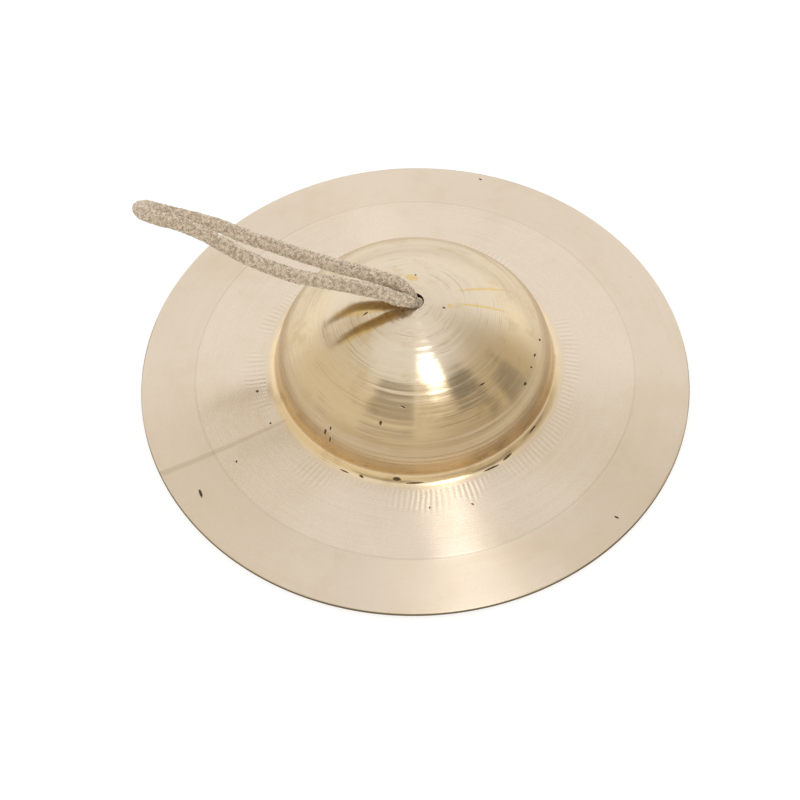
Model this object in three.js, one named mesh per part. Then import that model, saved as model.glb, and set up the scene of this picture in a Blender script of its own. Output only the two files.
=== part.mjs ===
// Small Chinese-style hand cymbal: one spun and hammered brass plate with a tall
// round bell, and one braided cotton cord that is doubled into a finger loop,
// passed down through the hole in the bell and knotted inside the cup.
// Millimetres, +Z up. The origin is the centre of the rim on the resting plane.
import * as THREE from 'three';

// ---- the plate ----------------------------------------------------------
const rimRadius = 75;
const rimEdgeHeight = 0.9;        // thickness left at the outer edge
const rimLandWidth = 1.6;         // flat ring under the rim that the plate rests on
const brimRingRadius = 60;        // where the outer band of the brim begins
const brimRingHeight = 3.7;
const sheetThickness = 1.0;
const bellHeight = 35.4;          // top of the bell's outer face
const bellWallRadius = 37.3;      // outer face, where the bell wall stands upright
const capRadius = 45;             // radius of curvature of the bell's cap
const shoulderRadius = 16;        // radius of curvature of the bell's shoulder
const footFilletRadius = 3.2;     // hollow curve between the bell wall and the brim
const cordHoleRadius = 2.7;

// ---- the cord -----------------------------------------------------------
const cordRadius = 1.95;
const neckRadius = 2.25;          // the doubled cord, squeezed to pass the hole
const meetingGap = 0.35;          // left between pieces that touch on the real one
const neckStandOut = 0.8;         // how far the squeezed cord shows above the hole
const knotRadius = 9.2;
const knotBottom = 20;
const knotTopDrop = 1.05;         // from the underside of the bell down to the knot

// The knot's outline from bottom to top: share of its radius, share of its height.
const knotOutline = [
  [0, 0],
  [0.66, 0.02],
  [0.92, 0.2],
  [1, 0.5],
  [0.9, 0.8],
  [0.56, 0.97],
  [0, 1],
];

// ---- fineness -----------------------------------------------------------
const plateSides = 72;
const capSteps = 6;
const shoulderSteps = 5;
const filletSteps = 4;
const knotSides = 24;
const cordSides = 10;
const loopSteps = 56;
const tailSteps = 5;

const degrees = Math.PI / 180;

const brass = new THREE.MeshStandardMaterial({ color: 0xdcc28c, roughness: 0.28, metalness: 1.0 });
const cotton = new THREE.MeshStandardMaterial({ color: 0xc4b299, roughness: 0.95, metalness: 0.0 });

// The loop of the cord, from the hole out along the upper strand, round the turn
// at the tip and back along the lower strand, which hangs behind it.
const loopRoute = [
  [-2.4, -2.0, 38.1],
  [-4.0, -2.0, 39.0],
  [-7.8, -1.4, 40.7],
  [-12.4, -1.4, 42.7],
  [-17.1, -1.2, 44.1],
  [-21.8, -0.8, 45.1],
  [-26.5, -0.3, 46.0],
  [-31.2, 0.2, 47.2],
  [-35.6, 0.9, 49.0],
  [-40.0, 1.6, 51.0],
  [-44.2, 2.4, 53.3],
  [-48.2, 3.4, 55.9],
  [-52.2, 4.4, 58.5],
  [-56.3, 5.2, 60.8],
  [-60.6, 5.8, 62.8],
  [-64.6, 6.3, 63.9],
  [-68.0, 7.9, 63.9],
  [-69.8, 10.8, 62.1],
  [-70.0, 14.1, 58.9],
  [-68.9, 16.9, 55.6],
  [-66.9, 18.5, 52.7],
  [-63.8, 19.6, 50.0],
  [-59.5, 20.1, 47.6],
  [-51.3, 18.9, 45.2],
  [-47.0, 17.3, 44.4],
  [-42.8, 15.4, 43.9],
  [-38.3, 13.8, 43.5],
  [-33.9, 12.4, 42.8],
  [-29.7, 11.1, 41.9],
  [-25.3, 9.8, 41.2],
  [-20.9, 8.2, 40.9],
  [-16.4, 6.5, 41.0],
  [-12.0, 4.8, 41.2],
  [-7.8, 3.3, 40.9],
  [-4.2, 2.5, 39.8],
  [-2.4, 2.2, 38.4],
];

const leftTailRoute = [
  [-3.0, 1.1, 19.4],
  [-3.6, 1.5, 16.0],
  [-5.0, 2.1, 11.5],
  [-6.8, 2.5, 7.0],
];

const rightTailRoute = [
  [3.0, -1.1, 19.4],
  [3.6, -1.6, 16.2],
  [4.8, -2.6, 12.4],
  [6.5, -3.2, 9.0],
];

// Where the shoulder's arc is centred, and the radius of the cap that meets it smoothly.
function bellArcs() {
  const shoulderCentreRadius = bellWallRadius - shoulderRadius;
  const capCentreHeight = bellHeight - capRadius;
  const reach = capRadius - shoulderRadius;
  const rise = Math.sqrt(reach * reach - shoulderCentreRadius * shoulderCentreRadius);
  const joinAngle = Math.atan2(rise, shoulderCentreRadius);
  return { shoulderCentreRadius, capCentreHeight, shoulderCentreHeight: capCentreHeight + rise, joinAngle };
}

function arcPoints(centreRadius, centreHeight, radius, fromAngle, toAngle, count) {
  const points = [];
  for (let i = 0; i <= count; i += 1) {
    const angle = fromAngle + ((toAngle - fromAngle) * i) / count;
    const out = centreRadius + radius * Math.cos(angle);
    const up = centreHeight + radius * Math.sin(angle);
    points.push(new THREE.Vector2(out, up));
  }
  return points;
}

// One face of the bell from the hole to the foot; inset is 0 outside and the
// sheet's thickness inside.
function bellFace(inset) {
  const arcs = bellArcs();
  const cap = capRadius - inset;
  const shoulder = shoulderRadius - inset;
  const fillet = footFilletRadius + inset;
  const filletCentreRadius = bellWallRadius + footFilletRadius;
  const filletCentreHeight = arcs.shoulderCentreHeight;
  const brimFall = filletCentreHeight - footFilletRadius - brimRingHeight;
  const brimAngle = Math.atan2(brimFall, brimRingRadius - filletCentreRadius);
  const holeAngle = Math.acos(cordHoleRadius / cap);
  const top = arcPoints(0, arcs.capCentreHeight, cap, holeAngle, arcs.joinAngle, capSteps);
  const side = arcPoints(
    arcs.shoulderCentreRadius, arcs.shoulderCentreHeight, shoulder, arcs.joinAngle, 0, shoulderSteps,
  );
  const foot = arcPoints(
    filletCentreRadius, filletCentreHeight, fillet, 180 * degrees, 270 * degrees - brimAngle, filletSteps,
  );
  return [...top, ...side.slice(1), ...foot.slice(1)];
}

function cymbalPlate() {
  const outside = bellFace(0);
  const inside = bellFace(sheetThickness);
  const landInner = rimRadius - rimLandWidth;
  const profile = [
    ...outside,
    new THREE.Vector2(brimRingRadius, brimRingHeight),
    new THREE.Vector2(rimRadius, rimEdgeHeight),
    new THREE.Vector2(rimRadius, 0),
    new THREE.Vector2(landInner, 0),
    new THREE.Vector2(brimRingRadius, brimRingHeight - sheetThickness),
    ...inside.reverse(),
    outside[0].clone(),
  ];
  const geometry = new THREE.LatheGeometry(profile.reverse(), plateSides);
  geometry.rotateX(90 * degrees);
  return named('cymbal_plate', geometry, brass);
}

function tube(route, radius, sides, steps) {
  const outline = [];
  for (let i = 0; i < sides; i += 1) {
    const angle = (2 * Math.PI * i) / sides;
    outline.push(new THREE.Vector2(radius * Math.cos(angle), radius * Math.sin(angle)));
  }
  const places = route.map((place) => new THREE.Vector3(...place));
  const extrudePath = new THREE.CatmullRomCurve3(places, false, 'centripetal');
  return new THREE.ExtrudeGeometry(new THREE.Shape(outline), { steps, extrudePath, bevelEnabled: false });
}

// The doubled cord where it is squeezed in the hole.
function cordNeck(knotTop) {
  const bottom = knotTop + meetingGap;
  const top = bellHeight + neckStandOut;
  const geometry = new THREE.CylinderGeometry(neckRadius, neckRadius, top - bottom, knotSides);
  geometry.rotateX(90 * degrees);
  geometry.translate(0, 0, (top + bottom) / 2);
  return named('cord_neck', geometry, cotton);
}

// The overhand knot, pulled up against the inside of the bell.
function cordKnot(knotTop) {
  const height = knotTop - knotBottom;
  const profile = knotOutline.map(
    ([out, up]) => new THREE.Vector2(knotRadius * out, knotBottom + height * up),
  );
  const geometry = new THREE.LatheGeometry(profile, knotSides);
  geometry.rotateX(90 * degrees);
  return named('cord_knot', geometry, cotton);
}

function named(name, geometry, material) {
  const mesh = new THREE.Mesh(geometry, material);
  mesh.name = name;
  return mesh;
}

function handCymbal() {
  const knotTop = bellHeight - sheetThickness - knotTopDrop;
  const whole = new THREE.Group();
  whole.add(cymbalPlate());
  whole.add(named('hand_loop', tube(loopRoute, cordRadius, cordSides, loopSteps), cotton));
  whole.add(cordNeck(knotTop));
  whole.add(cordKnot(knotTop));
  whole.add(named('cord_tail_left', tube(leftTailRoute, cordRadius, cordSides, tailSteps), cotton));
  whole.add(named('cord_tail_right', tube(rightTailRoute, cordRadius, cordSides, tailSteps), cotton));
  return whole;
}

export default handCymbal();
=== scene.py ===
"""A small brass hand cymbal with a braided cotton finger loop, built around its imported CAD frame."""
import math
from types import SimpleNamespace

import bpy
import numpy as np
from mathutils import Matrix, Vector


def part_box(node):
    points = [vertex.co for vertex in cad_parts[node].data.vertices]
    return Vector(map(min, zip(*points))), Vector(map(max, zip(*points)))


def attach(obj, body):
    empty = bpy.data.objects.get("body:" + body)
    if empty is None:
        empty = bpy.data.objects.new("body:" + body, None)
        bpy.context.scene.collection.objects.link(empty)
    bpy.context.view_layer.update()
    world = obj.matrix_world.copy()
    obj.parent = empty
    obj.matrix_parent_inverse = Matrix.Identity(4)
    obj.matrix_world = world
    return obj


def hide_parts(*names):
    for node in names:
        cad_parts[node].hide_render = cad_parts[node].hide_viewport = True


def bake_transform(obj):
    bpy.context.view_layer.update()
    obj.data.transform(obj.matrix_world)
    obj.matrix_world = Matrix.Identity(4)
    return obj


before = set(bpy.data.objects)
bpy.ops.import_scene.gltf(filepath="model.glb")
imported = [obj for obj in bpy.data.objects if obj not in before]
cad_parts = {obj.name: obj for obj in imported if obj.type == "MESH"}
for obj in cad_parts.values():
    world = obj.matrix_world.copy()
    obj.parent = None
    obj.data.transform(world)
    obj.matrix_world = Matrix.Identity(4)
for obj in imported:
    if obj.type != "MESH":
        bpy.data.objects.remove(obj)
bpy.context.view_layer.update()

MM = 0.001

# ---- driving sizes, in millimetres -----------------------------------------------------
plate_low, plate_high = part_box("cymbal_plate")
RIM_RADIUS = plate_high.x / MM
BELL_HEIGHT = 35.4
RIM_EDGE_HEIGHT = 0.9
RIM_LAND_WIDTH = 1.6
RING_RADIUS = 60.0
RING_HEIGHT = 3.7
SHEET = 1.0
WALL_RADIUS = 37.3
CAP_RADIUS = 45.0
SHOULDER_RADIUS = 16.0
FOOT_RADIUS = 3.2
HOLE_RADIUS = 2.7
CORD_DIAMETER = 3.9
PLATE_SIDES = 384
YARN_SIDES = 6
CORE_SIDES = 12
# Roughness and anisotropy of the bell, the brim and the brim's outer band.
BELL_FINISH = (0.180, 0.84)
BRIM_FINISH = (0.270, 0.98)
BAND_FINISH = (0.42, 0.78)

# The finger loop's route, which is the CAD tube's without its two end points: out along the
# upper strand, round the turn at the tip and back along the lower strand behind it.
LOOP_ROUTE = [
    (-4.0, -2.0, 39.0),
    (-7.8, -1.4, 40.7),
    (-12.4, -1.4, 42.7),
    (-17.1, -1.2, 44.1),
    (-21.8, -0.8, 45.1),
    (-26.5, -0.3, 46.0),
    (-31.2, 0.2, 47.2),
    (-35.6, 0.9, 49.0),
    (-40.0, 1.6, 51.0),
    (-44.2, 2.4, 53.3),
    (-48.2, 3.4, 55.9),
    (-52.2, 4.4, 58.5),
    (-56.3, 5.2, 60.8),
    (-60.6, 5.8, 62.8),
    (-64.6, 6.3, 63.9),
    (-68.0, 7.9, 63.9),
    (-69.8, 10.8, 62.1),
    (-70.0, 14.1, 58.9),
    (-68.9, 16.9, 55.6),
    (-66.9, 18.5, 52.7),
    (-63.8, 19.6, 50.0),
    (-59.5, 20.1, 47.6),
    (-51.3, 18.9, 45.2),
    (-47.0, 17.3, 44.4),
    (-42.8, 15.4, 43.9),
    (-38.3, 13.8, 43.5),
    (-33.9, 12.4, 42.8),
    (-29.7, 11.1, 41.9),
    (-25.3, 9.8, 41.2),
    (-20.9, 8.2, 40.9),
    (-16.4, 6.5, 41.0),
    (-12.0, 4.8, 41.2),
    (-7.8, 3.3, 40.9),
    (-4.2, 2.5, 39.8),
]
# From inside the knot up through the hole; the y side is mirrored for the rear strand.
NECK_ROUTE = [
    (-0.5, -1.1, 31.5),
    (-0.5, -1.1, 33.4),
    (-0.6, -1.15, 35.2),
    (-1.2, -1.45, 36.9),
]
TAIL_ENDS = [(-6.8, 2.5, 7.0), (6.5, -3.2, 9.0)]

# The larger pits, scars and bits of grime: angle, radius and height on the plate, width,
# length, and how far the length is turned from pointing outwards.
PITS = [
    (-170, 43.4, 6.4, 0.9, 0.9, 0),
    (-155, 43.0, 6.4, 0.6, 0.7, 0),
    (-147, 68.5, 2.1, 0.8, 2.8, 75),
    (-149, 56.0, 4.3, 0.6, 0.8, 40),
    (-42, 70.4, 1.8, 0.6, 1.4, 20),
    (74, 72.7, 1.3, 0.6, 1.2, 60),
    (-86, 45.8, 6.0, 0.5, 0.6, 0),
    (-72, 47.0, 5.8, 0.4, 0.9, 30),
    (-169, 12.9, 33.5, 0.5, 1.6, 20),
    (-13, 8.2, 34.6, 0.7, 0.8, 0),
    (86, 9.5, 34.3, 0.5, 0.7, 10),
    (-107, 31.3, 22.8, 0.8, 0.9, 0),
    (-4, 33.6, 20.3, 0.6, 0.9, 60),
    (-14, 32.9, 21.1, 0.5, 1.3, 80),
    (-21, 33.0, 21.0, 0.5, 0.8, 70),
    (-30, 33.5, 20.4, 0.6, 1.4, 80),
    (-131, 36.4, 15.2, 0.7, 0.7, 60),
    (-128, 36.8, 13.6, 0.5, 0.5, 85),
    (-129, 35.6, 17.4, 0.5, 0.6, 20),
    (-112, 39.1, 7.2, 0.6, 1.4, 80),
    (-97, 27.5, 26.0, 0.4, 1.8, 80),
    (-50, 27.2, 26.1, 0.4, 2.2, 85),
    (-98, 38.2, 7.8, 0.8, 2.4, 90),
    (-91, 38.8, 7.4, 0.45, 5.0, 92),
    (-60, 39.6, 7.0, 0.5, 5.0, 88),
    (-52, 39.2, 7.2, 0.6, 3.4, 96),
    (-119, 39.4, 7.1, 0.35, 3.0, 90),
    (-36, 38.4, 7.9, 0.4, 4.0, 90),
]

# Golden patches, laid out like the pits. The first two aren't tarnish but painted reflections:
# they lie where the camera sees the loop's reflections, and deepen their colour. The others are stains.
STAINS_AND_REFLECTION_TINTS = [
    (-176, 12.0, 33.5, 4.2, 19.0, -6),
    (-151, 12.5, 33.2, 3.6, 19.0, -8),
    (92, 8.4, 34.6, 2.6, 4.0, 60),
    (21, 20.0, 30.0, 0.9, 16.0, 0),
    (2, 18.0, 31.0, 0.9, 15.0, 4),
    (-6, 9.6, 34.4, 1.6, 1.6, 0),
]

# Dark gaps in the white room: azimuth, width, lowest and highest elevation in degrees, and
# how bright the gap is.
DARK_GAPS = [
    (-114, 44, 35, 60, 0.46),
    (-33, 30, 40, 60, 0.26),
    (-26, 8, 20, 36, 0.42),
    (-3, 20, 12, 33, 0.36),
    (141, 14, 35, 75, 0.86),
]
ROOM_CEILING = (1.09, 1.09, 1.08, 1)
ROOM_BACK = (1.20, 1.20, 1.19, 1)
ROOM_FRONT = (0.86, 0.80, 0.67, 1)
ROOM_RIGHT = (0.66, 0.59, 0.46, 1)
# The window's centre and size in metres, and its power.
WINDOW_PLACE = (0.225, -0.345, 1.13)
WINDOW_SIZE = (0.24, 0.44)
WINDOW_WATTS = 1.5


# ---- small helpers ---------------------------------------------------------------------
def mesh_object(name, vertices, faces):
    """A new smooth mesh object from points in millimetres."""
    mesh = bpy.data.meshes.new(name)
    mesh.from_pydata((np.asarray(vertices) * MM).tolist(), [], faces)
    mesh.update()
    mesh.shade_smooth()
    made = bpy.data.objects.new(name, mesh)
    bpy.context.scene.collection.objects.link(made)
    return made


def grid_faces(rows, columns, start=0, closed_rows=False):
    """Quads between the rows of a grid whose columns close on themselves."""
    i = np.arange(rows if closed_rows else rows - 1)[:, None]
    j = np.arange(columns)[None, :]
    below = (i + 1) % rows
    beside = (j + 1) % columns
    quads = np.stack(
        [i * columns + j, i * columns + beside, below * columns + beside, below * columns + j], axis=-1
    )
    return (quads.reshape(-1, 4) + start).tolist()


def line_noise(rng, values, step):
    """Smooth random values along a line, changing over about step."""
    at = (values - values.min()) / step
    knots = rng.normal(size=int(at.max()) + 3)
    low = np.floor(at).astype(int)
    part = at - low
    part = part * part * (3 - 2 * part)
    return knots[low] * (1 - part) + knots[low + 1] * part


def spline(points, spacing):
    """Points about spacing apart on a smooth centripetal curve through the given points."""
    points = np.asarray(points, float)
    ends = np.vstack([2 * points[0] - points[1], points, 2 * points[-1] - points[-2]])
    gaps = np.sqrt(np.linalg.norm(np.diff(ends, axis=0), axis=1))
    times = np.concatenate([[0], np.cumsum(gaps)])
    dense = []
    for i in range(1, len(ends) - 2):
        t0, t1, t2, t3 = times[i - 1 : i + 3]
        p0, p1, p2, p3 = ends[i - 1 : i + 3]
        t = np.linspace(t1, t2, 24, endpoint=False)[:, None]
        a1 = (t1 - t) / (t1 - t0) * p0 + (t - t0) / (t1 - t0) * p1
        a2 = (t2 - t) / (t2 - t1) * p1 + (t - t1) / (t2 - t1) * p2
        a3 = (t3 - t) / (t3 - t2) * p2 + (t - t2) / (t3 - t2) * p3
        b1 = (t2 - t) / (t2 - t0) * a1 + (t - t0) / (t2 - t0) * a2
        b2 = (t3 - t) / (t3 - t1) * a2 + (t - t1) / (t3 - t1) * a3
        dense.append((t2 - t) / (t2 - t1) * b1 + (t - t1) / (t2 - t1) * b2)
    return evenly(np.vstack(dense + [ends[-2]]), spacing)


def evenly(line, spacing):
    """The line again, with points about spacing apart."""
    along = np.concatenate([[0], np.cumsum(np.linalg.norm(np.diff(line, axis=0), axis=1))])
    at = np.linspace(0, along[-1], int(round(along[-1] / spacing)) + 1)
    return np.stack([np.interp(at, along, line[:, k]) for k in range(3)], axis=1)


# ---- camera ----------------------------------------------------------------------------
CAMERA_DISTANCE = 0.700
CAMERA_ELEVATION = 54.37
CAMERA_ROLL = -1.6
CAMERA_AIM = (-0.00422, -0.00457, -0.00319)
CAMERA_LENS = 114.84
SENSOR_WIDTH = 36


def add_camera():
    """The photograph's viewing angle: from the front, 54 degrees up, with a slight roll."""
    elevation, roll = math.radians(CAMERA_ELEVATION), math.radians(CAMERA_ROLL)
    place = Vector((0, -math.cos(elevation), math.sin(elevation))) * CAMERA_DISTANCE
    aim = Vector(CAMERA_AIM)
    back = (place - aim).normalized()
    right = Vector((0, 0, 1)).cross(back).normalized()
    up = back.cross(right)
    turned_right = right * math.cos(roll) + up * math.sin(roll)
    turned_up = up * math.cos(roll) - right * math.sin(roll)
    data = bpy.data.cameras.new("camera")
    data.lens = CAMERA_LENS
    data.sensor_width = SENSOR_WIDTH
    camera = bpy.data.objects.new("camera", data)
    axes = Matrix((turned_right, turned_up, back)).transposed()
    camera.matrix_world = Matrix.Translation(place) @ axes.to_4x4()
    bpy.context.scene.collection.objects.link(camera)
    bpy.context.scene.camera = camera


# ---- the plate's shape -----------------------------------------------------------------
def arc(centre, radius, start, stop, spacing):
    """Points on an arc in the (radius, height) plane, angles in radians."""
    count = max(2, int(abs(stop - start) * radius / spacing) + 1)
    angles = np.linspace(start, stop, count)
    return np.stack([centre[0] + radius * np.cos(angles), centre[1] + radius * np.sin(angles)], axis=1)


def straight(start, stop, spacing):
    count = max(2, int(math.dist(start, stop) / spacing) + 1)
    return np.linspace(start, stop, count)


def bell_face(inset, spacing):
    """One face of the bell, from the hole to the foot; inset 0 is the outside."""
    centre_radius = WALL_RADIUS - SHOULDER_RADIUS
    cap_height = BELL_HEIGHT - CAP_RADIUS
    rise = math.sqrt((CAP_RADIUS - SHOULDER_RADIUS) ** 2 - centre_radius**2)
    join = math.atan2(rise, centre_radius)
    foot = (WALL_RADIUS + FOOT_RADIUS, cap_height + rise)
    slope = math.atan2(foot[1] - FOOT_RADIUS - RING_HEIGHT, RING_RADIUS - foot[0])
    cap = CAP_RADIUS - inset
    start = math.acos((HOLE_RADIUS + 0.12) / cap)
    pieces = [
        arc((0, cap_height), cap, start, join, spacing),
        arc((centre_radius, cap_height + rise), SHOULDER_RADIUS - inset, join, 0, spacing),
        arc(foot, FOOT_RADIUS + inset, math.pi, 1.5 * math.pi - slope, spacing),
    ]
    return np.vstack([pieces[0]] + [p[1:] for p in pieces[1:]])


def plate_profile():
    """The closed outline of the sheet, and which of its points are on the outer face."""
    bell = bell_face(0, 0.22)
    ring = (RING_RADIUS, RING_HEIGHT)
    edge = (RIM_RADIUS, RIM_EDGE_HEIGHT)
    outer = np.vstack(
        [
            bell,
            straight(bell[-1], ring, 0.35)[1:],
            straight(ring, (edge[0] - 0.2, edge[1] + 0.04), 0.35)[1:],
        ]
    )
    rim = np.array(
        [
            (RIM_RADIUS - 0.06, RIM_EDGE_HEIGHT - 0.05),
            (RIM_RADIUS, RIM_EDGE_HEIGHT - 0.2),
            (RIM_RADIUS, 0.14),
            (RIM_RADIUS - 0.05, 0.04),
            (RIM_RADIUS - 0.18, 0.0),
            (RIM_RADIUS - RIM_LAND_WIDTH, 0.0),
        ]
    )
    inside = bell_face(SHEET, 0.6)
    under = np.vstack(
        [
            straight((RIM_RADIUS - RIM_LAND_WIDTH - 0.2, 0.04), (RING_RADIUS, RING_HEIGHT - SHEET), 0.7),
            straight((RING_RADIUS, RING_HEIGHT - SHEET), inside[-1], 0.7)[1:-1],
            inside[::-1],
        ]
    )
    lip = np.array(
        [
            (HOLE_RADIUS + 0.03, inside[0][1] + 0.04),
            (HOLE_RADIUS, inside[0][1] + 0.12),
            (HOLE_RADIUS, bell[0][1] - 0.12),
            (HOLE_RADIUS + 0.03, bell[0][1] - 0.03),
        ]
    )
    profile = np.vstack([outer, rim, under, lip])
    on_face = np.zeros(len(profile))
    on_face[: len(outer)] = 1
    on_face[len(outer) + len(rim) : -len(lip)] = 0.6
    return profile, on_face


def waves(rng, points, shortest, longest, count):
    """A smooth random field: a sum of plane waves, about 1 high."""
    total = np.zeros(len(points))
    for _ in range(count):
        direction = rng.normal(size=3)
        direction /= np.linalg.norm(direction)
        length = rng.uniform(shortest, longest)
        total += np.sin(points @ direction * 2 * math.pi / length + rng.uniform(0, 2 * math.pi))
    return total / math.sqrt(count / 2)


def build_plate():
    """The whole plate: turned grooves, hammer marks and the rim, in one revolved mesh."""
    rng = np.random.default_rng(11)
    profile, on_face = plate_profile()
    rows = len(profile)
    step = np.roll(profile, -1, axis=0) - np.roll(profile, 1, axis=0)
    normal = np.stack([step[:, 1], -step[:, 0]], axis=1)
    normal *= -1 / np.linalg.norm(normal, axis=1)[:, None]
    along = np.concatenate([[0], np.cumsum(np.linalg.norm(np.diff(profile, axis=0), axis=1))])
    angle = np.arange(PLATE_SIDES) * 2 * math.pi / PLATE_SIDES
    s, a = np.meshgrid(along, angle, indexing="ij")
    r = np.repeat(profile[:, 0][:, None], PLATE_SIDES, axis=1)
    z = np.repeat(profile[:, 1][:, None], PLATE_SIDES, axis=1)
    flat = np.stack([r * np.cos(a), r * np.sin(a), z], axis=-1).reshape(-1, 3)
    wander = 0.5 * np.sin(a - 0.9) + 0.25 * np.sin(2 * a + 1.3)
    lathe = s + wander
    in_bell = 1 / (1 + np.exp((s - 51) / 1.5))
    grooves = (
        0.0085 * line_noise(rng, lathe.ravel(), 0.5)
        + 0.024 * line_noise(rng, lathe.ravel(), 1.0)
        + 0.030 * line_noise(rng, lathe.ravel(), 3.0)
    ).reshape(s.shape)
    patchy = np.clip(0.7 + 0.5 * waves(rng, flat, 14, 50, 16).reshape(s.shape), 0.1, 1.6)
    hammer = 0.020 * waves(rng, flat, 11, 24, 40).reshape(s.shape)
    soft = 0.05 * waves(rng, flat, 40, 80, 12).reshape(s.shape)
    depth = grooves * patchy * (0.07 + 0.93 * in_bell)
    depth = depth + hammer * (1.1 - 0.5 * in_bell) + soft * (1 - 0.6 * in_bell)
    depth *= on_face[:, None]
    lift = profile[:, 1][:, None] > 0.3
    r = r + depth * normal[:, 0][:, None] * lift
    z = z + depth * normal[:, 1][:, None] * lift
    z = np.maximum(z, 0)
    r = np.minimum(r, RIM_RADIUS)
    vertices = np.stack([r * np.cos(a), r * np.sin(a), z], axis=-1).reshape(-1, 3)
    plate = mesh_object("cymbal", vertices, grid_faces(rows, PLATE_SIDES, closed_rows=True))
    plate.data.materials.append(brass_material())
    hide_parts("cymbal_plate")
    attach(plate, "cymbal")
    return plate


# ---- materials -------------------------------------------------------------------------
# Base colours of the brass. The bell's side, shoulder and wall are tuned to the light as well as
# to the tarnish, so they aren't one metal's true colour: the side and the wall carry painted light,
# the shoulder painted shade.
BRIM_BRASS = (0.735, 0.628, 0.510, 1)
CAP_BRASS = (0.660, 0.560, 0.430, 1)
SIDE_BRASS_AND_LIGHT = (0.720, 0.574, 0.370, 1)
SHOULDER_BRASS_AND_SHADE = (0.60, 0.46, 0.28, 1)
WALL_BRASS_AND_LIGHT = (0.82, 0.64, 0.40, 1)
WARM_BRASS = (0.66, 0.53, 0.375, 1)
BRIGHT_RING = (0.76, 0.67, 0.56, 1)
GRAIN = (0.62, 0.50, 0.36, 1)
CLOUDY_STAIN = (0.56, 0.42, 0.22, 1)
# Also the colour of the two painted reflections of the loop.
GOLDEN_STAIN_AND_REFLECTION = (0.66, 0.44, 0.12, 1)
DARK_RING_LINE = (0.26, 0.19, 0.10, 1)
TICK_SHADE = (0.45, 0.36, 0.27, 1)
TICK_SHINE = (0.88, 0.79, 0.66, 1)
DARK_SECTOR_REFLECTION = (0.45, 0.35, 0.24, 1)
DARK_LINE_REFLECTION = (0.40, 0.30, 0.19, 1)
GROOVE = (0.40, 0.32, 0.22, 1)
SPECK = (0.36, 0.27, 0.17, 1)
PIT = (0.07, 0.045, 0.02, 1)
RIM_EDGE_REFLECTION = (0.16, 0.12, 0.06, 1)
BORE_PAINTED_SHADE = (0.04, 0.025, 0.012, 1)

COTTON_LIGHT = (0.84, 0.72, 0.595)
COTTON_DARK = (0.45, 0.36, 0.27)
COTTON_FLECK = (0.36, 0.30, 0.24)


class Nodes:
    """A short way to write a node tree."""

    def __init__(self, tree):
        self.tree = tree

    def link(self, source, target):
        if isinstance(source, (int, float, tuple, list)):
            target.default_value = source
        else:
            self.tree.links.new(source, target)

    def set(self, **values):
        for key, value in values.items():
            self.shader.inputs[key.replace("_", " ")].default_value = value

    def math(self, operation, a, b=0.0, clamp=False):
        node = self.tree.nodes.new("ShaderNodeMath")
        node.operation = operation
        node.use_clamp = clamp
        self.link(a, node.inputs[0])
        self.link(b, node.inputs[1])
        return node.outputs[0]

    def times(self, a, b):
        return self.math("MULTIPLY", a, b)

    def plus(self, a, b):
        return self.math("ADD", a, b)

    def minus(self, a, b):
        return self.math("SUBTRACT", a, b)

    def distance(self, x, y):
        return self.math("SQRT", self.plus(self.times(x, x), self.times(y, y)))

    def position(self, scale=1000.0):
        """The point in the row frame, in millimetres by default."""
        source = self.tree.nodes.new("ShaderNodeTexCoord").outputs["Object"]
        node = self.tree.nodes.new("ShaderNodeVectorMath")
        node.operation = "SCALE"
        self.link(source, node.inputs[0])
        node.inputs["Scale"].default_value = scale
        return node.outputs[0]

    def split(self, vector):
        node = self.tree.nodes.new("ShaderNodeSeparateXYZ")
        self.link(vector, node.inputs[0])
        return node.outputs

    def join(self, x, y, z):
        node = self.tree.nodes.new("ShaderNodeCombineXYZ")
        for source, target in zip((x, y, z), node.inputs):
            self.link(source, target)
        return node.outputs[0]

    def noise(self, vector, scale, detail=2.0, roughness=0.5):
        node = self.tree.nodes.new("ShaderNodeTexNoise")
        self.link(vector, node.inputs["Vector"])
        node.inputs["Scale"].default_value = scale
        node.inputs["Detail"].default_value = detail
        node.inputs["Roughness"].default_value = roughness
        return node.outputs["Fac"]

    def cells(self, vector, scale):
        node = self.tree.nodes.new("ShaderNodeTexVoronoi")
        self.link(vector, node.inputs["Vector"])
        node.inputs["Scale"].default_value = scale
        return node.outputs

    def between(self, value, low, high, to_low=0.0, to_high=1.0, smooth=True):
        node = self.tree.nodes.new("ShaderNodeMapRange")
        node.interpolation_type = "SMOOTHSTEP" if smooth else "LINEAR"
        self.link(value, node.inputs["Value"])
        for key, number in zip(("From Min", "From Max", "To Min", "To Max"), (low, high, to_low, to_high)):
            node.inputs[key].default_value = number
        return node.outputs["Result"]

    def mix(self, factor, a, b):
        node = self.tree.nodes.new("ShaderNodeMix")
        node.data_type = "RGBA"
        self.link(factor, node.inputs["Factor"])
        self.link(a, node.inputs[6])
        self.link(b, node.inputs[7])
        return node.outputs[2]

    def bump(self, height, distance, strength=1.0):
        node = self.tree.nodes.new("ShaderNodeBump")
        node.inputs["Strength"].default_value = strength
        node.inputs["Distance"].default_value = distance
        self.link(height, node.inputs["Height"])
        return node.outputs["Normal"]


def new_material(name):
    """A new material with one Principled shader, and the way to write its nodes."""
    material = bpy.data.materials.new(name)
    material.use_nodes = True
    n = Nodes(material.node_tree)
    n.tree.nodes.clear()
    n.material = material
    n.shader = n.tree.nodes.new("ShaderNodeBsdfPrincipled")
    output = n.tree.nodes.new("ShaderNodeOutputMaterial")
    n.link(n.shader.outputs[0], output.inputs["Surface"])
    return n


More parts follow.
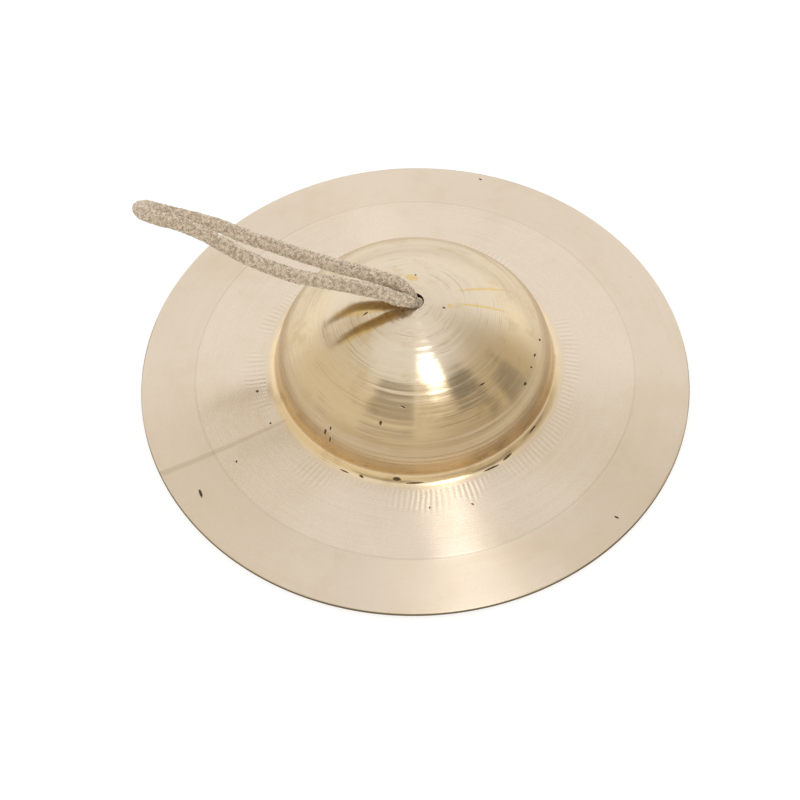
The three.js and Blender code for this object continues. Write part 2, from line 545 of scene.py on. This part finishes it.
def mark(n, place, angle, radius, height, across, along, turned):
    """A small oval mark on the plate: where it is, how wide and long it is, and how
    far its length is turned from pointing outwards."""
    spot = (radius * math.cos(math.radians(angle)), radius * math.sin(math.radians(angle)), height)
    heading = math.radians(angle + turned)
    cosine, sine = math.cos(heading), math.sin(heading)
    offset = n.tree.nodes.new("ShaderNodeVectorMath")
    offset.operation = "SUBTRACT"
    n.link(place, offset.inputs[0])
    offset.inputs[1].default_value = spot
    x, y, z = n.split(offset.outputs[0])
    ahead = n.plus(n.times(x, cosine), n.times(y, sine))
    aside = n.minus(n.times(y, cosine), n.times(x, sine))
    ahead = n.math("DIVIDE", ahead, along / 2)
    aside = n.math("DIVIDE", aside, across / 2)
    away = n.plus(n.times(ahead, ahead), n.times(aside, aside))
    ragged = n.times(n.noise(place, 2.5, 1.0), 0.9)
    near = n.between(n.math("ABSOLUTE", z), 1.5 + along / 4, 2.0 + along / 3, 1.0, 0.0)
    return n.times(n.between(n.plus(away, ragged), 0.9, 1.7, 1.0, 0.0), near)


def outer_face(n, x, y, radius):
    """1 on the plate's outer face and 0 on its inner face."""
    normal = n.tree.nodes.new("ShaderNodeTexCoord").outputs["Normal"]
    normal_x, normal_y, normal_z = n.split(normal)
    outward = n.plus(n.times(normal_x, x), n.times(normal_y, y))
    outward = n.math("DIVIDE", outward, radius)
    return n.between(n.plus(outward, normal_z), -0.15, 0.15)


def places_on_plate(n):
    """The coordinates and the areas of the plate that its finish is written in."""
    place = n.position()
    x, y, z = n.split(place)
    radius = n.distance(x, y)
    angle = n.math("ARCTAN2", y, x)
    on_bell = n.between(radius, 38.0, 41.0, 1.0, 0.0)
    outer = outer_face(n, x, y, radius)
    shoulder = n.times(n.between(z, 22.0, 18.5), n.between(z, 15.5, 12.0, 1.0, 0.0))
    return SimpleNamespace(
        place=place,
        y=y,
        z=z,
        radius=radius,
        angle=angle,
        lathe=n.minus(radius, z),
        around_x=n.math("COSINE", angle),
        around_y=n.math("SINE", angle),
        outer=outer,
        on_bell=on_bell,
        on_band=n.between(radius, 59.6, 61.0),
        side=n.times(on_bell, n.between(z, 33.5, 25.0)),
        shoulder=n.times(on_bell, shoulder),
        wall=n.times(on_bell, n.between(z, 15.5, 12.0)),
        outer_brim=n.times(n.minus(1.0, on_bell), outer),
    )


def turned_noise(n, at, per_mm, detail, roughness=0.5):
    """Noise drawn out round the axis, like the marks of a lathe."""
    return n.noise(n.join(n.times(at.lathe, per_mm), at.around_x, at.around_y), 1.0, detail, roughness)


def chatter_ticks(n, at):
    """Short radial chatter marks round the bell's foot."""
    wobble = n.noise(at.place, 0.10, 1.0)
    phase = n.plus(n.times(at.angle, 190.0), n.times(wobble, 7.0))
    ticks = n.math("SINE", n.plus(phase, n.times(at.radius, 0.35)))
    start = n.times(n.between(at.radius, 40.4, 41.0), at.outer)
    reach = n.between(n.noise(at.place, 0.08, 1.0), 0.35, 0.65, 41.5, 47.5)
    reach = n.minus(reach, n.between(at.y, -15.0, 25.0, 0.0, 2.2))
    fade = n.between(n.minus(at.radius, reach), -2.5, 1.5, 1.0, 0.0)
    return n.times(ticks, n.times(start, fade))


def scattered_specks(n, at):
    """Small faint tarnish specks all over the plate."""
    cells = n.cells(at.place, 0.13)
    size = n.between(n.split(cells["Color"])[0], 0.6, 1.0, 0.0, 0.05, smooth=False)
    return n.between(n.minus(size, cells["Distance"]), 0.0, 0.02)


def placed_pits(n, at):
    """All of PITS in one mask."""
    pits = [mark(n, at.place, *spot) for spot in PITS]
    whole = pits[0]
    for other in pits[1:]:
        whole = n.math("MAXIMUM", whole, other)
    return n.times(whole, at.outer)


def dark_ring_lines(n, at):
    """Dark lines in the turned rings, most of them low on the front of the cap."""
    lines = turned_noise(n, at, 2.2, 3.0, 0.8)
    patch = n.between(n.noise(at.place, 0.09, 3.0), 0.40, 0.60)
    zone = n.times(n.between(at.radius, 20.0, 23.0), n.between(at.radius, 27.0, 30.0, 1.0, 0.0))
    zone = n.times(zone, n.between(at.y, -12.0, -20.0))
    patch = n.math("MAXIMUM", patch, n.times(zone, 0.9))
    return n.times(n.between(lines, 0.54, 0.64), n.times(patch, at.on_bell))


def metal_colour(n, at):
    """The brass by area, with its blotches and stains, painted light and shade on the bell's
    side, shoulder and wall, and painted reflections of the loop.
    """
    colour = n.mix(at.on_bell, BRIM_BRASS, CAP_BRASS)
    # The bell's side and wall carry painted light and its shoulder painted shade, besides tarnish.
    colour = n.mix(at.side, colour, SIDE_BRASS_AND_LIGHT)
    colour = n.mix(at.shoulder, colour, SHOULDER_BRASS_AND_SHADE)
    colour = n.mix(at.wall, colour, WALL_BRASS_AND_LIGHT)
    blotch = n.between(n.noise(at.place, 0.045, 4.0, 0.6), 0.45, 0.75)
    colour = n.mix(n.times(blotch, 0.45), colour, WARM_BRASS)
    stain = n.between(n.noise(at.place, 0.11, 4.0, 0.65), 0.50, 0.68)
    stain = n.times(stain, n.between(at.on_bell, 0.0, 1.0, 0.10, 0.55))
    colour = n.mix(stain, colour, CLOUDY_STAIN)
    strength = n.times(at.outer, 0.70)
    # Painted reflections: the first two of these patches tint the loop's reflections; the rest are stains.
    for spot in STAINS_AND_REFLECTION_TINTS:
        colour = n.mix(n.times(mark(n, at.place, *spot), strength), colour, GOLDEN_STAIN_AND_REFLECTION)
    return colour


def dark_sector_on_brim(n, at, colour):
    """A darker sector on the left of the brim, with a darker line along its edge: both are
    painted reflections of something dark in the room.
    """
    degrees = n.times(at.angle, 180 / math.pi)
    swung = n.plus(degrees, n.times(n.minus(at.radius, 42.0), 0.09))
    inside = n.times(n.between(swung, -153.8, -153.0), n.between(swung, -128.0, -116.0, 1.0, 0.0))
    edge_line = n.between(n.math("ABSOLUTE", n.plus(swung, 153.3)), 0.3, 1.1, 1.0, 0.0)
    colour = n.mix(n.times(n.times(inside, at.outer_brim), 0.06), colour, DARK_SECTOR_REFLECTION)
    return n.mix(n.times(n.times(edge_line, at.outer_brim), 0.30), colour, DARK_LINE_REFLECTION)


def by_area(n, at, which):
    """One of the finish values, blended from the brim to the bell and to the outer band."""
    value = n.between(at.on_bell, 0.0, 1.0, BRIM_FINISH[which], BELL_FINISH[which])
    return n.plus(value, n.times(at.on_band, BAND_FINISH[which] - BRIM_FINISH[which]))


def brass_material():
    """Lathe-turned pale brass: rings, chatter marks round the bell's foot, pits and tarnish."""
    n = new_material("turned_brass")
    at = places_on_plate(n)
    fine = turned_noise(n, at, 2.6, 3.0, 0.6)
    tone = turned_noise(n, at, 0.5, 2.0)
    grain = n.noise(at.place, 1.4, 3.0, 0.7)
    ticks = chatter_ticks(n, at)
    tilt = n.times(ticks, 0.5)
    pit = placed_pits(n, at)
    edge = n.times(n.between(at.radius, 74.75, 74.85), n.between(at.z, 0.95, 0.8))
    groove = n.between(n.math("ABSOLUTE", n.minus(at.radius, RING_RADIUS)), 0.15, 0.4, 1.0, 0.0)
    bore = n.between(at.radius, HOLE_RADIUS + 0.10, HOLE_RADIUS + 0.04)

    colour = metal_colour(n, at)
    # Darkens lines in the turned rings, mostly low on the front of the cap.
    colour = n.mix(n.times(dark_ring_lines(n, at), 0.48), colour, DARK_RING_LINE)
    colour = n.mix(n.between(tone, 0.35, 0.65, 0.0, 0.12), colour, BRIGHT_RING)
    colour = n.mix(n.between(grain, 0.3, 0.7, 0.0, 0.16), colour, GRAIN)
    colour = n.mix(n.between(tilt, 0.0, 0.5, 0.0, 0.14), colour, TICK_SHADE)
    colour = n.mix(n.between(tilt, 0.0, -0.5, 0.0, 0.22), colour, TICK_SHINE)
    # Painted reflection: a darker sector and a darker line on the front left of the brim.
    colour = dark_sector_on_brim(n, at, colour)
    colour = n.mix(n.times(groove, 0.20), colour, GROOVE)
    colour = n.mix(n.times(scattered_specks(n, at), 0.45), colour, SPECK)
    colour = n.mix(n.times(pit, 0.9), colour, PIT)
    # Painted reflection: the rim's outer edge is darkened as if it mirrored the dim room in front.
    colour = n.mix(n.times(edge, 0.85), colour, RIM_EDGE_REFLECTION)
    # Painted shade: the hole's bore is darkened nearly to black.
    colour = n.mix(n.times(bore, 0.9), colour, BORE_PAINTED_SHADE)
    n.link(colour, n.shader.inputs["Base Color"])

    rough = n.times(by_area(n, at, 0), n.between(fine, 0.3, 0.7, 0.92, 1.08))
    rough = n.math("ADD", rough, n.times(n.math("MAXIMUM", pit, edge), 0.3), clamp=True)
    rough = n.plus(rough, n.times(at.shoulder, 0.08))
    n.link(rough, n.shader.inputs["Roughness"])
    n.link(by_area(n, at, 1), n.shader.inputs["Anisotropic"])

    height = n.plus(n.times(fine, 0.7), n.times(ticks, 0.9))
    height = n.plus(height, n.times(grain, 0.5))
    height = n.minus(height, n.times(pit, 3.0))
    height = n.minus(height, n.times(groove, 2.0))
    n.link(n.bump(height, 0.00001), n.shader.inputs["Normal"])
    n.set(Metallic=1.0, Anisotropic_Rotation=0.25)
    tangent = n.tree.nodes.new("ShaderNodeTangent")
    tangent.direction_type = "RADIAL"
    tangent.axis = "Z"
    n.link(tangent.outputs[0], n.shader.inputs["Tangent"])
    return n.material


def cotton_material(name, tint=1.0):
    """Undyed braided cotton: matt, mottled, with a soft sheen."""
    light, dark, fleck = [
        tuple(channel * tint for channel in shade) + (1,)
        for shade in (COTTON_LIGHT, COTTON_DARK, COTTON_FLECK)
    ]
    n = new_material(name)
    place = n.position()
    mottle = n.noise(place, 1.1, 3.0, 0.6)
    fibre_noise = n.noise(place, 5.5, 2.0, 0.6)
    colour = n.mix(n.between(mottle, 0.33, 0.67), dark, light)
    colour = n.mix(n.between(fibre_noise, 0.35, 0.7, 0.0, 0.25), colour, fleck)
    n.link(colour, n.shader.inputs["Base Color"])
    n.set(Roughness=0.92, Sheen_Weight=0.35, Sheen_Roughness=0.5, Specular_IOR_Level=0.2)
    n.link(n.bump(fibre_noise, 0.00008, 0.6), n.shader.inputs["Normal"])
    return n.material


def floor_material():
    """A white floor with a glow of its own, which is off under the plate so that the
    hole looks dark, and which weakens beyond the camera's view."""
    n = new_material("white_floor")
    place = n.position()
    x, y, _ = n.split(place)
    radius = n.distance(x, y)
    cloud = n.noise(place, 0.004, 1.0)
    n.link(n.mix(cloud, (0.34, 0.34, 0.34, 1), (0.36, 0.36, 0.36, 1)), n.shader.inputs["Base Color"])
    glow = n.times(n.between(radius, 66.0, 73.5), n.between(radius, 170.0, 300.0, 0.70, 0.45))
    n.link(glow, n.shader.inputs["Emission Strength"])
    n.set(Roughness=0.9, Emission_Color=(1, 1, 1, 1))
    return n.material


# ---- the cord --------------------------------------------------------------------------
def carried_frames(line):
    """Tangents and two unit vectors across the line that turn as little as possible."""
    tangent = np.gradient(line, axis=0)
    tangent /= np.linalg.norm(tangent, axis=1)[:, None]
    across = np.cross(tangent[0], (0.0, 0.0, 1.0) if abs(tangent[0][2]) < 0.9 else (0.0, 1.0, 0.0))
    across /= np.linalg.norm(across)
    first = np.zeros_like(line)
    for i, t in enumerate(tangent):
        across = across - t * (across @ t)
        across /= np.linalg.norm(across)
        first[i] = across
    return tangent, first, np.cross(tangent, first)


def braid(line, rng, carriers=24, lay=9.5, diameter=CORD_DIAMETER):
    """The points and quads of a tubular braid that follows the line, in millimetres.
    Half of the yarns turn each way, and each passes over two and under two."""
    spacing = np.linalg.norm(np.diff(line, axis=0), axis=1).mean()
    s = np.arange(len(line)) * spacing
    tangent, first, second = carried_frames(line)
    each_way = carriers // 2
    crossing = lay / carriers
    thick = 0.27
    reach = diameter / 2 - thick - 0.12
    width = math.pi * reach / each_way * 0.80
    ring = np.arange(YARN_SIDES) * 2 * math.pi / YARN_SIDES
    vertices, faces, count = [], [], 0
    for k in range(carriers):
        turn = 1 if k < each_way else -1
        index = k % each_way
        phase = math.pi / 2 * turn * s / crossing + math.pi * index
        weave = turn * np.cos(phase - math.pi / 4)
        weave = np.tanh(1.6 * weave)
        angle = turn * 2 * math.pi * s / lay + 2 * math.pi * index / each_way
        angle = angle + 0.05 * line_noise(rng, s, 2.5)
        out = reach + 0.15 * weave + 0.06 * line_noise(rng, s, 3.0)
        radial = np.cos(angle)[:, None] * first + np.sin(angle)[:, None] * second
        centre = line + out[:, None] * radial
        heading = np.gradient(centre, axis=0)
        heading /= np.linalg.norm(heading, axis=1)[:, None]
        beside = np.cross(heading, radial)
        beside /= np.linalg.norm(beside, axis=1)[:, None]
        upward = np.cross(beside, heading)
        plump = 1 + 0.12 * line_noise(rng, s, 1.6)
        section = (
            centre[:, None]
            + beside[:, None] * (np.cos(ring)[None, :, None] * (width * plump)[:, None, None])
            + upward[:, None] * (np.sin(ring)[None, :, None] * (thick * plump)[:, None, None])
        )
        vertices.append(section.reshape(-1, 3))
        faces += grid_faces(len(line), YARN_SIDES, count)
        count += len(line) * YARN_SIDES
        for base in (count - len(line) * YARN_SIDES, count - YARN_SIDES):
            faces.append([base + i for i in range(YARN_SIDES)])
    core = np.arange(CORE_SIDES) * 2 * math.pi / CORE_SIDES
    filled = (
        line[:, None]
        + first[:, None] * (np.cos(core)[None, :, None] * reach * 0.93)
        + second[:, None] * (np.sin(core)[None, :, None] * reach * 0.93)
    )
    vertices.append(filled.reshape(-1, 3))
    faces += grid_faces(len(line), CORE_SIDES, count)
    faces.append([count + i for i in range(CORE_SIDES)])
    faces.append([count + (len(line) - 1) * CORE_SIDES + i for i in range(CORE_SIDES)])
    return np.vstack(vertices), faces, carriers


# The heights between which the two strands are squeezed, and the middle of the hole.
SQUEEZE_BOTTOM = 30.5
SQUEEZE_TOP = 38.2
HOLE_HEIGHT = 34.85


def squeeze_at_hole(points, centres):
    """Flattens the two strands against each other where they pass the hole, and
    keeps them inside its edge."""
    height = centres[:, 2]
    depth = np.clip((height - SQUEEZE_BOTTOM) / 2.0, 0, 1) * np.clip((SQUEEZE_TOP - height) / 2.6, 0, 1)
    depth = depth * depth * (3 - 2 * depth)
    depth = depth * (np.hypot(centres[:, 0], centres[:, 1]) < 5)
    offset = points - centres
    offset[:, 1] *= 1 - 0.42 * depth
    offset[:, 0] *= 1 - 0.08 * depth
    points = centres + offset
    out = np.hypot(points[:, 0], points[:, 1])
    near = (depth > 0) & (out > 1e-6)
    room = HOLE_RADIUS - 0.1 + 0.9 * np.maximum(np.abs(points[:, 2] - HOLE_HEIGHT) - 0.75, 0)
    shrink = np.where(near, np.minimum(room / np.maximum(out, 1e-6), 1), 1)
    points[:, :2] *= shrink[:, None]
    return points


def centre_of_each(line, carriers):
    """The line's point behind each vertex that braid() made."""
    yarn = np.repeat(line, YARN_SIDES, axis=0)
    core = np.repeat(line, CORE_SIDES, axis=0)
    return np.vstack([yarn] * carriers + [core])


def loop_line():
    """The visible cord's centreline, from the knot up, round the loop and back."""
    front = NECK_ROUTE
    rear = [(px, -py, pz) for px, py, pz in reversed(NECK_ROUTE)]
    return spline(front + LOOP_ROUTE + rear, 0.4)


def build_loop(cotton):
    line = loop_line()
    rng = np.random.default_rng(5)
    vertices, faces, carriers = braid(line, rng)
    vertices = squeeze_at_hole(vertices, centre_of_each(line, carriers))
    cord = mesh_object("finger_cord", vertices, faces)
    cord.data.materials.append(cotton)
    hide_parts("hand_loop", "cord_neck")
    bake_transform(cord)
    length = float(np.linalg.norm(np.diff(line, axis=0), axis=1).sum())
    return cord, line, length


def overhand_start(spread):
    """An open overhand knot, from its upper end to its lower one."""
    t = np.linspace(2.12, -2.12, 80)
    return np.stack([t**3 - 3 * t, t**4 - 4 * t**2 + 1.6, 0.9 * (t**5 / 5 - 2 * t)], axis=1) * spread


def tied_strands():
    """Two strands drawn up into one overhand knot under the hole, by pulling them
    straight while they push each other apart."""
    touch, spacing = 3.5, 1.3
    middle = overhand_start(3.9) + (0, 0, 29.0)
    heading = np.gradient(middle, axis=0)
    side = np.cross(heading, (0.0, 1.0, 0.0))
    side /= np.linalg.norm(side, axis=1)[:, None]
    strands = []
    for sign in (1, -1):
        top = (-0.5, -1.1 * sign, 33.4)
        bottom = (-3.4 * sign, 1.3 * sign, 16.0)
        strands.append(evenly(np.vstack([top, middle + side * 1.45 * sign, bottom]), spacing))
    near = int(touch / spacing * 1.5) + 1
    for step in range(500):
        every = np.vstack(strands)
        index = np.arange(len(every))
        own = index >= len(strands[0])
        apart = every[:, None] - every[None]
        distance = np.linalg.norm(apart, axis=2)
        neighbours = (own[:, None] == own[None]) & (abs(index[:, None] - index[None]) <= near)
        push = np.where((distance < touch) & ~neighbours, touch - distance, 0)
        count = np.maximum((push > 0).sum(1), 1)[:, None]
        move = (apart / (distance[..., None] + 1e-9) * push[..., None]).sum(1) / count * 0.5
        start, pulled = 0, []
        for strand in strands:
            moved = strand + move[start : start + len(strand)]
            start += len(strand)
            moved[1:-1] += 0.35 * ((strand[:-2] + strand[2:]) / 2 - strand[1:-1])
            moved[2:-2, 2] += 0.02
            out = np.hypot(moved[:, 0], moved[:, 1])
            roof = BELL_HEIGHT - CAP_RADIUS + np.sqrt((CAP_RADIUS - SHEET) ** 2 - out**2) - 2.0
            moved[:, 2] = np.where(out > 2.0, np.minimum(moved[:, 2], roof), moved[:, 2])
            moved[0], moved[-1] = strand[0], strand[-1]
            pulled.append(evenly(moved, spacing) if step % 5 == 0 else moved)
        strands = pulled
    return strands


def build_knot(cotton):
    """The knot with its two cut tails, which ride on the knot's body."""
    rng = np.random.default_rng(8)
    vertices, faces, count, ends = [], [], 0, []
    for strand, tail in zip(tied_strands(), TAIL_ENDS):
        last, tail = strand[-1], np.array(tail)
        turn = last + (last - strand[-3]) * 0.8
        route = np.vstack([strand[:-1:2], last, turn * 0.5 + (last + tail) * 0.25, tail])
        line = spline(route, 0.5)
        points, quads, carriers = braid(line, rng)
        points = squeeze_at_hole(points, centre_of_each(line, carriers))
        vertices.append(points)
        faces += [[corner + count for corner in quad] for quad in quads]
        count += len(points)
        ends.append((line[-1], line[-1] - line[-4]))
    knot = mesh_object("knot_and_tails", np.vstack(vertices), faces)
    knot.data.materials.append(cotton)
    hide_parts("cord_knot", "cord_tail_left", "cord_tail_right")
    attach(knot, "knot")
    return knot, ends


def fibre(rng, start, heading, length, radius, sides, rows):
    """One loose yarn: a thin tapering tube that wanders away from the cut end."""
    drift = rng.normal(size=3) * 0.35
    centres, at = [start], heading
    for _ in range(rows - 1):
        at = at + drift * 0.3 + rng.normal(size=3) * 0.12
        at = at / np.linalg.norm(at)
        centres.append(centres[-1] + at * length / (rows - 1))
    centres = np.array(centres)
    _, first, second = carried_frames(centres)
    ring = np.arange(sides) * 2 * math.pi / sides
    thin = radius * np.linspace(1.0, 0.45, rows)[:, None, None]
    around = np.cos(ring)[None, :, None] * first[:, None] + np.sin(ring)[None, :, None] * second[:, None]
    return (centres[:, None] + around * thin).reshape(-1, 3)


def build_frayed_ends(cotton, ends):
    """The yarns that stand loose beyond the two cut ends of the cord."""
    rng = np.random.default_rng(21)
    sides, rows, yarns = 4, 7, 90
    vertices, faces, count = [], [], 0
    for tip, heading in ends:
        heading = heading / np.linalg.norm(heading)
        across = np.cross(heading, (0.0, 1.0, 0.0))
        across /= np.linalg.norm(across)
        beside = np.cross(heading, across)
        for _ in range(yarns):
            out = CORD_DIAMETER / 2 * 0.85 * math.sqrt(rng.uniform())
            angle = rng.uniform(0, 2 * math.pi)
            away = across * math.cos(angle) + beside * math.sin(angle)
            aim = heading + away * out * 0.16 + rng.normal(size=3) * 0.06
            start = tip - heading * 1.0 + away * out
            aim = aim / np.linalg.norm(aim)
            vertices.append(fibre(rng, start, aim, rng.uniform(2.0, 3.6), 0.13, sides, rows))
            faces += grid_faces(rows, sides, count)
            faces.append([count + i for i in range(sides)])
            faces.append([count + (rows - 1) * sides + i for i in range(sides)])
            count += rows * sides
    frayed = mesh_object("frayed_ends", np.vstack(vertices), faces)
    frayed.data.materials.append(cotton)
    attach(frayed, "knot")
    return frayed


def build_floor():
    mesh = bpy.data.meshes.new("floor")
    half = 3.0
    corners = [(-half, -half, 0), (half, -half, 0), (half, half, 0), (-half, half, 0)]
    mesh.from_pydata(corners, [], [(0, 1, 2, 3)])
    floor = bpy.data.objects.new("floor", mesh)
    bpy.context.scene.collection.objects.link(floor)
    floor.location.z = -0.0002
    mesh.materials.append(floor_material())


# ---- light -----------------------------------------------------------------------------
def soft_light(name, place, aim, size, power):
    data = bpy.data.lights.new(name, "AREA")
    data.shape = "RECTANGLE"
    data.size, data.size_y = size
    data.energy = power
    light = bpy.data.objects.new(name, data)
    light.location = place
    light.rotation_euler = (Vector(aim) - Vector(place)).to_track_quat("-Z", "Y").to_euler()
    bpy.context.scene.collection.objects.link(light)


def white_tent():
    """A white room, dimmer low down in front and on the right, with the dark gaps."""
    world = bpy.data.worlds.new("white_tent")
    world.use_nodes = True
    n = Nodes(world.node_tree)
    x, y, z = n.split(n.tree.nodes.new("ShaderNodeTexCoord").outputs["Generated"])
    azimuth = n.times(n.math("ARCTAN2", y, x), 180 / math.pi)
    elevation = n.times(n.math("ARCSINE", z), 180 / math.pi)
    behind = n.between(y, 0.15, 0.65)
    low = n.between(elevation, 72.0, 42.0)
    right = n.between(x, -0.1, 0.5)
    colour = n.mix(n.times(behind, n.between(elevation, 55.0, 20.0)), ROOM_CEILING, ROOM_BACK)
    dim = n.times(n.minus(1.0, behind), low)
    colour = n.mix(dim, colour, ROOM_FRONT)
    colour = n.mix(n.times(dim, right), colour, ROOM_RIGHT)
    for centre, width, bottom, top, shade in DARK_GAPS:
        off = n.math("ABSOLUTE", n.minus(azimuth, centre))
        inside = n.between(off, width / 2 + 1, width / 2 - 1)
        inside = n.times(inside, n.between(elevation, bottom - 4, bottom + 4))
        inside = n.times(inside, n.between(elevation, top + 4, top - 4))
        colour = n.mix(inside, colour, (shade, shade * 0.92, shade * 0.78, 1))
    n.link(colour, n.tree.nodes["Background"].inputs["Color"])
    return world


def light_studio():
    bpy.context.scene.world = white_tent()
    bpy.context.scene.view_settings.view_transform = "Standard"
    soft_light("window", WINDOW_PLACE, (0, 0, 0.02), WINDOW_SIZE, WINDOW_WATTS)


# ---- assembly --------------------------------------------------------------------------
def main():
    add_camera()
    cotton = cotton_material("braided_cotton")
    cord, line, length = build_loop(cotton)
    knot, ends = build_knot(cotton)
    frayed = build_frayed_ends(cotton_material("cut_cotton", 1.08), ends)
    build_plate()
    build_floor()
    light_studio()


main()
